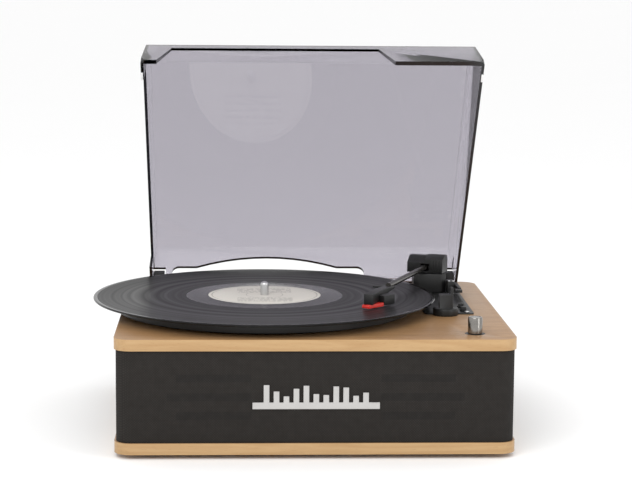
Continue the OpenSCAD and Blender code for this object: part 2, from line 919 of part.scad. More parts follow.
module knob_collar() {
    color("#101010")
        ring(knob_x, knob_y, knob_shaft_r + run_gap, collar_r, deck_z - collar_t, deck_z);
}

module volume_knob() {
    r = knob_d / 2;
    color("silver") {
        bar(knob_x, knob_y, r, deck_z + knob_low, deck_z + knob_h - knob_edge);
        translate([knob_x, knob_y, deck_z + knob_h - knob_edge - eps])
            cylinder(r1 = r, r2 = r - knob_edge, h = knob_edge + eps);
        bar(knob_x, knob_y, knob_shaft_r, top_z - 5, deck_z + knob_low + eps);
    }
}

module volume_control() {
    color("gray") difference() {
        union() {
            bar(knob_x, knob_y, pot_r, top_z - pot_t, top_z);
            bar(knob_x, knob_y, knob_shaft_r + 1.8, top_z - eps, top_z + 4);
        }
        bar(knob_x, knob_y, knob_shaft_r + run_gap, top_z - 6, top_z + 5);
    }
}

// ---------- dust cover ----------

// Side view of the closed cover, thinned by inset on every side but the open bottom.
function lid_profile(inset) = [
    [rear_u + inset, lid_rim - 2 * inset], [-2 + inset, rear_fold - inset],
    [front_fold_u, lid_h - inset], [nose_u - inset * 0.7, nose_w - inset * 0.6],
    [lid_len - inset, lid_rim - 2 * inset]];

// The closed cover's outline as a solid: side view crossed with a front view that has slight draft.
module lid_form(inset) {
    top = lid_w / 2 - lid_draft - inset;
    foot = lid_w / 2 - inset;
    c = lid_corner - inset;
    y0 = hinge_y;
    intersection() {
        translate([-lid_w, y0, deck_z]) rotate([90, 0, 90]) linear_extrude(2 * lid_w)
            polygon([for (p = lid_profile(inset)) [-p[0], p[1]]]);
        translate([0, 2 * plinth_d, deck_z]) rotate([90, 0, 0]) linear_extrude(4 * plinth_d)
            polygon([[-foot, -2 * lid_t], [-top, lid_h], [top, lid_h], [foot, -2 * lid_t]]);
        translate([0, y0 - lid_len / 2 - rear_u / 2, deck_z - 3 * lid_t]) linear_extrude(lid_h * 2)
            round_rect(lid_w + 2, lid_len - rear_u - 2 * inset + eps, c);
    }
}

// The openings that let the record stand out through the front, the left side and the back.
module lid_cuts() {
    translate([0, -plinth_d / 2, deck_z]) rotate([90, 0, 0]) translate([0, 0, -60])
        linear_extrude(120) polygon([[notch_left, -5], [notch_left, 2], [notch_left + notch_lean, notch_top],
            [notch_right - notch_lean, notch_top], [notch_right, 2], [notch_right, -5]]);
    translate([-lid_w / 2 - 5, hinge_y - side_cut_front, deck_z - 5])
        cube([20, side_cut_front - side_cut_back, side_cut_w + 5]);
    translate([0, hinge_y + 20, deck_z]) rotate([90, 0, 0]) linear_extrude(36)
        polygon(concat(
            [[-lid_w, -5], [-lid_w, rear_side_w], [rear_left_end, rear_side_w],
             [rear_left_end, rear_foot_w], [rear_cut_left, rear_foot_w]],
            [for (a = [0 : 15 : 90]) [rear_cut_left + rear_end_r * (1 - cos(a)),
                rear_flat_w - rear_end_r * (1 - sin(a))]],
            [for (i = [-5 : 5]) [rear_arc_x + rear_arc * i / 5,
                rear_flat_w + (rear_arc_w - rear_flat_w) * (1 - pow(i / 5, 2))]],
            [for (a = [90 : -15 : 0]) [rear_cut_right - rear_end_r * (1 - cos(a)),
                rear_flat_w - rear_end_r * (1 - sin(a))]],
            [[rear_cut_right, rear_foot_w], [rear_right_end, rear_foot_w],
             [rear_right_end, rear_side_w], [lid_w, rear_side_w], [lid_w, -5]]));
}

// The foot of each side wall at the back, which carries the hinge pin.
module lid_ears() {
    x0 = bracket_out + ear_gap;
    intersection() {
        difference() {
            lid_form(0);
            lid_form(lid_t);
        }
        for (s = [-1, 1])
            translate([s * (x0 + lid_t), hinge_y - (ear_len + rear_u) / 2, deck_z + ear_top / 2])
                cube([2 * lid_t, ear_len - rear_u, ear_top], center = true);
    }
}

module lid() {
    color([0.6, 0.58, 0.65, 0.5]) opened() difference() {
        union() {
            difference() {
                lid_form(0);
                lid_form(lid_t);
                lid_cuts();
            }
            lid_ears();
        }
        translate([0, hinge_y, deck_z + hinge_up]) rotate([0, 90, 0])
            cylinder(r = pin_r + run_gap, h = 2 * lid_w, center = true);
    }
}

module lid_bumpers() {
    color("white") opened() for (s = [-1, 1])
        translate([s * (lid_w / 2 - lid_t / 2 - 0.2), hinge_y - lid_len + 14, deck_z + bumper_gap])
            translate([-bumper_t / 2, 0, 0]) cube([bumper_t, bumper_len, lid_rim - bumper_gap]);
}

// ---------- hinges ----------

module hinge_brackets() {
    color("#101010") for (s = [-1, 1]) difference() {
        block(s * (bracket_out - bracket_w / 2), hinge_y, bracket_w, bracket_d, deck_z,
              deck_z + bracket_h);
        translate([0, hinge_y, deck_z + hinge_up]) rotate([0, 90, 0])
            cylinder(r = pin_r, h = 2 * lid_w, center = true);
        bar(s * (bracket_out - bracket_w / 2), hinge_y - 4, bracket_screw_r, deck_z - 1, deck_z + 3);
    }
}

module hinge_pins() {
    color("silver") for (s = [-1, 1])
        translate([s * (bracket_out - pin_in / 2 + 2.4), hinge_y, deck_z + hinge_up])
            rotate([0, 90, 0]) cylinder(r = pin_r, h = pin_in, center = true);
}

module hinge_screws() {
    color("silver") for (s = [-1, 1])
        bar(s * (bracket_out - bracket_w / 2), hinge_y - 4, bracket_screw_r, deck_z - 6, deck_z + 3);
}

// ---------- drawing ----------

base_board();
rubber_feet();
foot_screws();
cabinet_walls();
front_baffle();
grille_cloth();
badge();
left_speaker_basket();
left_speaker_cone();
left_speaker_magnet();
right_speaker_basket();
right_speaker_cone();
right_speaker_magnet();
amplifier_board();
board_standoffs();
amplifier_parts();
heat_sink();
rear_panel();
line_sockets();
aux_socket();
power_inlet();
panel_screws();
top_board();
bearing_bush();
motor();
motor_screws();
motor_pulley();
drive_belt();
platter();
slipmat();
spindle();
record();
record_label();
arm_plate();
arm_plate_screws();
arm_tower();
arm_rest();
arm_yoke();
arm_post();
lift_axle();
arm_tube();
headshell();
finger_lift();
cartridge();
stylus();
cue_block();
cue_screws();
cue_lever();
speed_switch();
stop_switch();
switch_bodies();
knob_collar();
volume_knob();
volume_control();
lid();
lid_bumpers();
hinge_brackets();
hinge_pins();
hinge_screws();
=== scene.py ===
# %% [markdown]
# # A record player, dressed for its portrait
# The measured model of the player is already made: each board, screw and wheel is a
# node with a real size. This lesson keeps those sizes and gives every node the look
# that the real object has. It starts by loading the measured frame, because every
# later piece takes its place and its size from it.

# %% Load the measured frame
import json
import math

import bmesh
import bpy
from mathutils import Matrix, Vector
from mathutils.bvhtree import BVHTree


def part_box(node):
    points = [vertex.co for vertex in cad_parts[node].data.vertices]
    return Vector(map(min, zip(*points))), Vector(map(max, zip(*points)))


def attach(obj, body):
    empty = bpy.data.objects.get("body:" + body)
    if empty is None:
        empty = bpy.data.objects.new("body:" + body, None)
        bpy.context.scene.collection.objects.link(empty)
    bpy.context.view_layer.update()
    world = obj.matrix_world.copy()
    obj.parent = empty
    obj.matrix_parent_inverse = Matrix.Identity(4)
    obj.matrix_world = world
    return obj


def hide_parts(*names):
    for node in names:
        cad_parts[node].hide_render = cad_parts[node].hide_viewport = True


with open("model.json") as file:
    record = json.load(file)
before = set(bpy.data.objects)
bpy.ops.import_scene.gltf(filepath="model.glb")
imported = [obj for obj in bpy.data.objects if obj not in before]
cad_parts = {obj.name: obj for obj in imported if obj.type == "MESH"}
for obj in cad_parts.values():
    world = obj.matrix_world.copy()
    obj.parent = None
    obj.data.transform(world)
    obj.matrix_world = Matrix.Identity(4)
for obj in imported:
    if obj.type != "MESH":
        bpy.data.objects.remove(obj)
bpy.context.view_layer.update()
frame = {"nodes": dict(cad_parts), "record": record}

# %% [markdown]
# The frame's record says which body carries each node and which finish it has. A small look-up keeps the
# bodies at hand, so that no piece repeats them.

# %% Look-up for bodies
MM = 0.001
record = frame["record"]
bodies = record["behaviour"]["bodies"]
body_of = {node: body for body in bodies for node in bodies[body]}


# %% [markdown]
# Positions are read from the boxes of the nodes. The record's axis and the level of
# the top board are used most, so they get names here.

# %% Reference places
def middle(node):
    low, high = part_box(node)
    return (Vector(low) + Vector(high)) / 2


def lowest(node):
    return Vector(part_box(node)[0])


def highest(node):
    return Vector(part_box(node)[1])


record_axis = middle("record")
record_top = highest("record").z
deck_top = highest("top_board").z
cloth_low = lowest("grille_cloth")
cloth_high = highest("grille_cloth")
print("record axis", record_axis, "deck at", round(deck_top / MM, 2), "mm")

# %% [markdown]
# ## Camera and light
# A long lens a little above the record, well back from the object, keeps the boards
# nearly parallel. The camera turns a touch to the right and tips down. Soft studio
# light comes from a white world, one large panel above and in front, and a narrow
# one at the right that draws a bright line down the metal knob.

# %% Camera
CAMERA_PLACE = Vector((-68.8, -1667.5, 389.5)) * MM
CAMERA_YAW = math.radians(2.55)
CAMERA_PITCH = math.radians(-8.11)
CAMERA_ROLL = math.radians(0.44)

camera_data = bpy.data.cameras.new("portrait_camera")
camera_data.lens = 108.57
camera_data.sensor_width = 36
camera_data.sensor_fit = "HORIZONTAL"
camera_data.clip_end = 200
camera = bpy.data.objects.new("portrait_camera", camera_data)
bpy.context.scene.collection.objects.link(camera)
turn = Matrix.Rotation(-CAMERA_YAW, 4, "Z")
tip = Matrix.Rotation(math.radians(90) + CAMERA_PITCH, 4, "X")
roll = Matrix.Rotation(CAMERA_ROLL, 4, "Z")
camera.matrix_world = Matrix.Translation(CAMERA_PLACE) @ turn @ tip @ roll
bpy.context.scene.camera = camera
print("camera at", [round(value, 3) for value in CAMERA_PLACE])

# %% World, lamps and floor
WORLD_WHITE = (1.0, 1.0, 1.0, 1.0)
FLOOR_HALF = 40.0

scene = bpy.context.scene
scene.view_settings.view_transform = "Standard"
world = bpy.data.worlds.new("studio")
world.use_nodes = True
world.node_tree.nodes["Background"].inputs["Color"].default_value = WORLD_WHITE
world.node_tree.nodes["Background"].inputs["Strength"].default_value = 1.0
scene.world = world


def area_lamp(name, place, aim, wide, tall, watts):
    lamp = bpy.data.lights.new(name, "AREA")
    lamp.shape = "RECTANGLE"
    lamp.size = wide
    lamp.size_y = tall
    lamp.energy = watts
    thing = bpy.data.objects.new(name, lamp)
    facing = (Vector(aim) - Vector(place)).to_track_quat("-Z", "Y")
    thing.matrix_world = Matrix.Translation(place) @ facing.to_matrix().to_4x4()
    scene.collection.objects.link(thing)
    return thing


LAMP_AIM = (0, 0, 0.1)
area_lamp("front_panel", (-0.5, -1.5, 1.3), LAMP_AIM, wide=1.4, tall=0.9, watts=16)
area_lamp("right_strip", (1.1, -0.9, 0.5), LAMP_AIM, wide=0.25, tall=1.0, watts=3)

floor_mesh = bpy.data.meshes.new("floor")
floor_shape = bmesh.new()
bmesh.ops.create_grid(floor_shape, x_segments=1, y_segments=1, size=FLOOR_HALF)
floor_shape.to_mesh(floor_mesh)
floor_shape.free()
floor = bpy.data.objects.new("floor", floor_mesh)
scene.collection.objects.link(floor)


# %% [markdown]
# ## Helpers for materials
# A finish is a small graph of nodes around one Principled shader. These helpers add a
# node, feed its sockets and hand back an output, so that a finish reads as a short
# list of what it is made of. All patterns use Object coordinates: a node's object
# stands at the origin, so they are metres in the frame and turn with the piece.

# %% Node helpers
def feed(tree, node, inputs):
    for name, value in inputs.items():
        if isinstance(value, bpy.types.NodeSocket):
            tree.links.new(value, node.inputs[name])
        else:
            node.inputs[name].default_value = value
    return node


def add_node(tree, kind, settings=None, inputs=None):
    node = tree.nodes.new(kind)
    for name, value in (settings or {}).items():
        setattr(node, name, value)
    return feed(tree, node, inputs or {})


def calc(tree, operation, first, second=0.0):
    node = add_node(tree, "ShaderNodeMath", {"operation": operation}, {0: first, 1: second})
    return node.outputs[0]


def between(tree, value, low, high):
    above = calc(tree, "GREATER_THAN", value, low)
    below = calc(tree, "LESS_THAN", value, high)
    return calc(tree, "MULTIPLY", above, below)


def blend_colour(tree, amount, first, second):
    node = add_node(tree, "ShaderNodeMix", {"data_type": "RGBA"})
    feed(tree, node, {"Factor": amount})
    for socket, value in ((node.inputs[6], first), (node.inputs[7], second)):
        if isinstance(value, bpy.types.NodeSocket):
            tree.links.new(value, socket)
        else:
            socket.default_value = (*value, 1.0)
    return node.outputs[2]


def scaled(tree, low, high, value):
    node = add_node(tree, "ShaderNodeMapRange", {}, {"Value": value})
    feed(tree, node, {"To Min": low, "To Max": high})
    return node.outputs["Result"]


def object_place(tree, centre=(0, 0, 0), stretch=(1, 1, 1)):
    coordinates = add_node(tree, "ShaderNodeTexCoord")
    mapping = add_node(tree, "ShaderNodeMapping", {"vector_type": "POINT"})
    offset = [-value * factor for value, factor in zip(centre, stretch)]
    feed(tree, mapping, {"Location": offset, "Scale": stretch})
    tree.links.new(coordinates.outputs["Object"], mapping.inputs["Vector"])
    return mapping.outputs["Vector"]


def new_finish(name):
    finish = bpy.data.materials.new(name)
    finish.use_nodes = True
    return finish, finish.node_tree, finish.node_tree.nodes["Principled BSDF"]


def bump_from(tree, shader, height, distance, strength=1.0):
    node = add_node(tree, "ShaderNodeBump", {}, {"Height": height})
    feed(tree, node, {"Distance": distance, "Strength": strength})
    tree.links.new(node.outputs["Normal"], shader.inputs["Normal"])


# %% [markdown]
# Four effects are shared by many finishes: the fine mottle of any real surface, wood
# grain, a woven cloth, and rings cut round an axis. Each is a node group with named
# sockets, built once and placed in a finish with that finish's own values.

# %% Start a node group
def new_group(name, inputs, outputs):
    tree = bpy.data.node_groups.new(name, "ShaderNodeTree")
    for label, kind in inputs:
        tree.interface.new_socket(label, in_out="INPUT", socket_type="NodeSocket" + kind)
    for label, kind in outputs:
        tree.interface.new_socket(label, in_out="OUTPUT", socket_type="NodeSocket" + kind)
    return tree, tree.nodes.new("NodeGroupInput").outputs, tree.nodes.new("NodeGroupOutput")


def place_group(tree, group, inputs):
    node = tree.nodes.new("ShaderNodeGroup")
    node.node_tree = group
    return feed(tree, node, inputs).outputs


# %% The mottle group
BROAD_SHARE = 0.6
BROAD_SIZE = 0.06


def build_mottle():
    tree, given, result = new_group(
        "mottle",
        [("Vector", "Vector"), ("Scale", "Float"), ("Dark", "Color"), ("Light", "Color"),
         ("Smooth", "Float"), ("Rough", "Float")],
        [("Colour", "Color"), ("Roughness", "Float"), ("Height", "Float")])
    fine = add_node(tree, "ShaderNodeTexNoise", {}, {"Vector": given["Vector"], "Scale": given["Scale"]})
    fine.inputs["Detail"].default_value = 4
    broad_scale = calc(tree, "MULTIPLY", given["Scale"], BROAD_SIZE)
    broad = add_node(tree, "ShaderNodeTexNoise", {}, {"Vector": given["Vector"], "Scale": broad_scale})
    mixed = calc(tree, "ADD", calc(tree, "MULTIPLY", fine.outputs["Fac"], 1 - BROAD_SHARE),
                 calc(tree, "MULTIPLY", broad.outputs["Fac"], BROAD_SHARE))
    colour = blend_colour(tree, mixed, given["Dark"], given["Light"])
    rough = add_node(tree, "ShaderNodeMapRange", {}, {"Value": mixed})
    feed(tree, rough, {"To Min": given["Smooth"], "To Max": given["Rough"]})
    tree.links.new(colour, result.inputs["Colour"])
    tree.links.new(rough.outputs["Result"], result.inputs["Roughness"])
    tree.links.new(fine.outputs["Fac"], result.inputs["Height"])
    return tree


MOTTLE = build_mottle()
print("group", MOTTLE.name, "ready")


# %% The wood grain group
FIGURE_SCALE = 1.6
STREAK_SCALE = 9.0
FIBRE_SCALE = 60.0
RINGS_IN_FIGURE = 7.0
PORE_LEVEL = 0.63
PORE_STRENGTH = 0.35


def build_grain():
    tree, given, result = new_group(
        "wood_grain",
        [("Vector", "Vector"), ("Dark", "Color"), ("Light", "Color"), ("Pore", "Color")],
        [("Colour", "Color"), ("Roughness", "Float"), ("Height", "Float")])
    figure = add_node(tree, "ShaderNodeTexNoise", {}, {"Vector": given["Vector"], "Scale": FIGURE_SCALE})
    feed(tree, figure, {"Detail": 3, "Distortion": 0.8})
    rings = calc(tree, "FRACT", calc(tree, "MULTIPLY", figure.outputs["Fac"], RINGS_IN_FIGURE))
    ring_wave = calc(tree, "PINGPONG", rings, 0.5)
    streak = add_node(tree, "ShaderNodeTexNoise", {}, {"Vector": given["Vector"], "Scale": STREAK_SCALE})
    feed(tree, streak, {"Detail": 6, "Roughness": 0.65})
    fibre = add_node(tree, "ShaderNodeTexNoise", {}, {"Vector": given["Vector"], "Scale": FIBRE_SCALE})
    feed(tree, fibre, {"Detail": 3, "Roughness": 0.6})
    tone = calc(tree, "ADD", calc(tree, "MULTIPLY", ring_wave, 0.7),
                calc(tree, "MULTIPLY", streak.outputs["Fac"], 0.75))
    tone = calc(tree, "SUBTRACT", tone, 0.12)
    colour = blend_colour(tree, tone, given["Dark"], given["Light"])
    pores = calc(tree, "GREATER_THAN", fibre.outputs["Fac"], PORE_LEVEL)
    pored = blend_colour(tree, calc(tree, "MULTIPLY", pores, PORE_STRENGTH), colour, given["Pore"])
    tree.links.new(pored, result.inputs["Colour"])
    tree.links.new(scaled(tree, 0.32, 0.5, fibre.outputs["Fac"]), result.inputs["Roughness"])
    tree.links.new(calc(tree, "SUBTRACT", streak.outputs["Fac"], calc(tree, "MULTIPLY", pores, 0.4)),
                   result.inputs["Height"])
    return tree


GRAIN = build_grain()
print("group", GRAIN.name, "ready")


# %% The weave group
def build_weave():
    tree, given, result = new_group(
        "weave",
        [("Across", "Float"), ("Up", "Float"), ("Threads", "Float"), ("Vector", "Vector")],
        [("Thread", "Float"), ("Height", "Float"), ("Shade", "Float")])
    waves = []
    for label in ("Across", "Up"):
        angle = calc(tree, "MULTIPLY", calc(tree, "MULTIPLY", given[label], given["Threads"]), math.pi)
        waves.append(calc(tree, "SINE", angle))
    over = calc(tree, "MULTIPLY", waves[0], waves[1])
    warp = calc(tree, "ABSOLUTE", waves[0])
    weft = calc(tree, "ABSOLUTE", waves[1])
    thread = calc(tree, "GREATER_THAN", over, 0.0)
    height = calc(tree, "MULTIPLY", warp, weft)
    slub = add_node(tree, "ShaderNodeTexNoise", {}, {"Vector": given["Vector"], "Scale": 160.0})
    feed(tree, slub, {"Detail": 3})
    tree.links.new(thread, result.inputs["Thread"])
    tree.links.new(height, result.inputs["Height"])
    tree.links.new(slub.outputs["Fac"], result.inputs["Shade"])
    return tree


WEAVE = build_weave()
print("group", WEAVE.name, "ready")


# %% The rings group
def build_rings():
    tree, given, result = new_group(
        "rings",
        [("Vector", "Vector"), ("Per metre", "Float")],
        [("Radius", "Float"), ("Fine", "Float"), ("Broad", "Float")])
    flat = add_node(tree, "ShaderNodeVectorMath", {"operation": "MULTIPLY"}, {0: given["Vector"]})
    flat.inputs[1].default_value = (1, 1, 0)
    length = add_node(tree, "ShaderNodeVectorMath", {"operation": "LENGTH"}, {0: flat.outputs[0]})
    radius = length.outputs["Value"]
    steps = calc(tree, "MULTIPLY", radius, given["Per metre"])
    fine = calc(tree, "PINGPONG", steps, 1.0)
    broad = add_node(tree, "ShaderNodeTexNoise", {"noise_dimensions": "1D"})
    tree.links.new(calc(tree, "MULTIPLY", steps, 0.16), broad.inputs["W"])
    feed(tree, broad, {"Scale": 1.0, "Detail": 2})
    tree.links.new(radius, result.inputs["Radius"])
    tree.links.new(fine, result.inputs["Fine"])
    tree.links.new(broad.outputs["Fac"], result.inputs["Broad"])
    return tree


RINGS = build_rings()
print("group", RINGS.name, "ready")


# %% [markdown]
# ## Plain finishes
# Moulded plastics, rubbers, metals and papers differ in colour, sheen and grain size,
# but are built alike: the mottle group gives a slight change of colour and gloss, and
# a bump of the right depth. One function makes them all from a row of values.

# %% A finish from the mottle group
def mottled(name, dark, light, smooth, rough, scale=900, depth=0.00002, metal=0.0,
            stretch=(1, 1, 1), shine=0.5):
    finish, tree, shader = new_finish(name)
    place = object_place(tree, stretch=stretch)
    group = place_group(tree, MOTTLE, {"Vector": place, "Scale": scale, "Dark": (*dark, 1),
                                       "Light": (*light, 1), "Smooth": smooth, "Rough": rough})
    feed(tree, shader, {"Base Color": group["Colour"], "Roughness": group["Roughness"],
                        "Metallic": metal, "Specular IOR Level": shine})
    bump_from(tree, shader, group["Height"], depth)
    return finish


def grey(value):
    return (value, value, value)


BLACK_PLASTIC = mottled("black_plastic", grey(0.007), grey(0.013), 0.36, 0.5, scale=1500, shine=0.4)
BLACK_GLOSS = mottled("black_gloss", grey(0.008), grey(0.013), 0.12, 0.2, scale=300, depth=0.000004)
RED_PLASTIC = mottled("red_plastic", (0.45, 0.012, 0.008), (0.62, 0.03, 0.018), 0.25, 0.34, scale=700)
RUBBER = mottled("foot_rubber", grey(0.012), grey(0.024), 0.6, 0.8, scale=2000, depth=0.00004)
STEEL = mottled("zinc_steel", grey(0.5), grey(0.66), 0.24, 0.36, metal=1.0, depth=0.000006)
SPEAKER_STEEL = mottled("speaker_steel", grey(0.08), grey(0.11), 0.4, 0.5)
BRASS = mottled("turned_brass", (0.55, 0.36, 0.12), (0.72, 0.5, 0.2), 0.2, 0.32, metal=1.0, depth=0.000004)
ALLOY = mottled("cast_alloy", grey(0.55), grey(0.64), 0.3, 0.42, metal=1.0, stretch=(1, 1, 0.1))
SATIN = mottled("satin_silver", (0.42, 0.41, 0.4), (0.5, 0.49, 0.475), 0.32, 0.4, metal=0.3,
                scale=1200, depth=0.000005)
ARM_METAL = mottled("dark_arm_metal", (0.05, 0.046, 0.042), (0.085, 0.078, 0.07), 0.2, 0.3,
                    metal=0.8, depth=0.000004)
FELT = mottled("felt", grey(0.008), grey(0.02), 0.85, 0.95, scale=2600, depth=0.0001)
PULP = mottled("cone_pulp", grey(0.012), grey(0.03), 0.7, 0.85, scale=1200, depth=0.00008)
FERRITE = mottled("ferrite", grey(0.03), grey(0.05), 0.45, 0.6)
NYLON = mottled("white_nylon", grey(0.68), grey(0.78), 0.4, 0.5)
CIRCUIT = mottled("solder_mask", (0.01, 0.09, 0.035), (0.015, 0.13, 0.05), 0.22, 0.32, scale=400)
COMPONENT = mottled("component_sleeve", (0.01, 0.012, 0.04), (0.02, 0.022, 0.06), 0.25, 0.35)
RAW_BOARD = mottled("fibreboard", (0.2, 0.13, 0.075), (0.3, 0.2, 0.12), 0.7, 0.85, scale=800, depth=0.00006)
CLEAR_PAD = mottled("clear_pad", grey(0.72), grey(0.82), 0.15, 0.25, depth=0.000004)
print(len(bpy.data.materials), "finishes so far")


# %% [markdown]
# ## Wood
# The boards are pale oak under a satin lacquer. Its grain runs from left to right, so the pattern is
# stretched twelve times along X. The wide faces are a browner veneer than the edges, which the maker
# lacquered lighter. The faces are also made darker as painted shade, because the top gets less light than
# the front edges, so there are two finishes.

# %% Oak finishes
GRAIN_STRETCH = (2.2, 26.0, 26.0)


def oak(name, dark, light, pore):
    finish, tree, shader = new_finish(name)
    place = object_place(tree, stretch=GRAIN_STRETCH)
    group = place_group(tree, GRAIN, {"Vector": place, "Dark": (*dark, 1), "Light": (*light, 1),
                                      "Pore": (*pore, 1)})
    feed(tree, shader, {"Base Color": group["Colour"], "Roughness": group["Roughness"],
                        "Coat Weight": 0.06, "Coat Roughness": 0.2, "Specular IOR Level": 0.3})
    bump_from(tree, shader, group["Height"], 0.00006, 0.6)
    return finish


# The face finish is darker than the edge finish: partly the veneer's own tone, partly painted shade on the
# less lit wide faces.
OAK_FACE_SHADED = oak("oak_veneer_painted_shade", (0.27, 0.145, 0.06), (0.42, 0.245, 0.115), (0.16, 0.08, 0.034))
OAK_EDGE = oak("oak_edge", (0.38, 0.225, 0.1), (0.5, 0.335, 0.17), (0.28, 0.155, 0.06))
print("oak", OAK_FACE_SHADED.name, OAK_EDGE.name)

# %% [markdown]
# ## Cloth
# The middle of the case is wrapped in charcoal speaker cloth, a plain weave of thick threads. The threads
# cross every millimetre or so. Behind the cloth the baffle has three slots a side. Where nothing backs the
# cloth it looks a little darker, so painted shade darkens the finish there. The small gaps between the
# threads get painted shade too.

# %% Speaker cloth
THREADS_PER_METRE = 950.0
SLOT_TALL = 6.5 * MM
SLOT_PITCH = 15.6 * MM
SLOT_INNER = 53.0 * MM
SLOT_OUTER = 114.0 * MM
SLOT_OUTER_MIDDLE = 121.5 * MM
FRONT_DEPTH = 5 * MM
YARN_DARK = (0.017, 0.0145, 0.0125)
YARN_LIGHT = (0.027, 0.0235, 0.0205)
YARN_WORN = (0.012, 0.0105, 0.0095)
# Painted shade: over the open baffle slots, and in the gaps between threads.
SLOT_SHADE = (0.002, 0.003, 0.004)
GAP_SHADE = (0.006, 0.005, 0.005)
GAP_LEVEL = 0.16


def slot_shade_mask(tree, across, up):
    reach = calc(tree, "ABSOLUTE", across)
    total = None
    for row, outer in ((-1, SLOT_OUTER), (0, SLOT_OUTER_MIDDLE), (1, SLOT_OUTER)):
        centre = (cloth_low.z + cloth_high.z) / 2 + row * SLOT_PITCH
        wide = between(tree, reach, SLOT_INNER, outer)
        tall = between(tree, up, centre - SLOT_TALL / 2, centre + SLOT_TALL / 2)
        patch = calc(tree, "MULTIPLY", wide, tall)
        total = patch if total is None else calc(tree, "ADD", total, patch)
    return total


def speaker_cloth():
    finish, tree, shader = new_finish("speaker_cloth")
    place = object_place(tree)
    parts = add_node(tree, "ShaderNodeSeparateXYZ", {}, {"Vector": place}).outputs
    across = calc(tree, "ADD", parts["X"], parts["Y"])
    group = place_group(tree, WEAVE, {"Across": across, "Up": parts["Z"],
                                      "Threads": THREADS_PER_METRE, "Vector": place})
    front = calc(tree, "LESS_THAN", parts["Y"], cloth_low.y + FRONT_DEPTH)
    shade = calc(tree, "MULTIPLY", slot_shade_mask(tree, parts["X"], parts["Z"]), front)
    yarn = blend_colour(tree, group["Thread"], YARN_DARK, YARN_LIGHT)
    yarn = blend_colour(tree, calc(tree, "MULTIPLY", group["Shade"], 0.5), yarn, YARN_WORN)
    # Painted shade over the open slots behind the cloth.
    yarn = blend_colour(tree, calc(tree, "MULTIPLY", shade, 0.24), yarn, SLOT_SHADE)
    # Painted shade in the gaps between the threads.
    gap = calc(tree, "LESS_THAN", group["Height"], GAP_LEVEL)
    yarn = blend_colour(tree, calc(tree, "MULTIPLY", gap, 0.7), yarn, GAP_SHADE)
    feed(tree, shader, {"Base Color": yarn, "Roughness": scaled(tree, 0.75, 0.95, group["Shade"]),
                        "Specular IOR Level": 0.25})
    bump_from(tree, shader, group["Height"], 0.0002, 0.7)
    return finish


CLOTH = speaker_cloth()
print("cloth threads every", round(1 / THREADS_PER_METRE / MM, 2), "mm")


# %% [markdown]
# ## Vinyl and label
# A pressed record is glossy black with thousands of grooves. They are too fine to tell apart, so they show
# as soft bands where one track ends and the next starts. The bands change the roughness and also carry a
# lighter painted sheen in the colour.
# The label is cream paper with plain printed rings and ruled bars.

# %% Vinyl
GROOVES_PER_METRE = 900.0
GROOVED_FROM = 69 * MM
GROOVED_TO = 147 * MM
VINYL_DARK = (0.003, 0.003, 0.003)
VINYL_BAND_SHEEN = (0.01, 0.0095, 0.01)


def vinyl():
    finish, tree, shader = new_finish("vinyl")
    place = object_place(tree, centre=(record_axis.x, record_axis.y, 0))
    rings = place_group(tree, RINGS, {"Vector": place, "Per metre": GROOVES_PER_METRE})
    grooved = between(tree, rings["Radius"], GROOVED_FROM, GROOVED_TO)
    band = calc(tree, "MULTIPLY", rings["Broad"], grooved)
    # The lighter colour in the grooved bands is painted sheen.
    colour = blend_colour(tree, band, VINYL_DARK, VINYL_BAND_SHEEN)
    rough = calc(tree, "ADD", calc(tree, "MULTIPLY", grooved, 0.12), 0.13)
    rough = calc(tree, "ADD", rough, calc(tree, "MULTIPLY", band, 0.3))
    height = calc(tree, "MULTIPLY", calc(tree, "ADD", rings["Fine"], rings["Broad"]), grooved)
    feed(tree, shader, {"Base Color": colour, "Roughness": rough, "Specular IOR Level": 0.2})
    bump_from(tree, shader, height, 0.00004, 0.5)
    return finish


VINYL = vinyl()


# %% Label paper
PAPER_DARK = (0.58, 0.55, 0.5, 1)
PAPER_LIGHT = (0.72, 0.69, 0.64, 1)
INK = (0.06, 0.055, 0.05)
INK_STRENGTH = 0.7
RULE_PITCH = 5.2 * MM
RULE_HALF = 24 * MM
RULES_FROM = 14 * MM
RULES_TO = 36 * MM


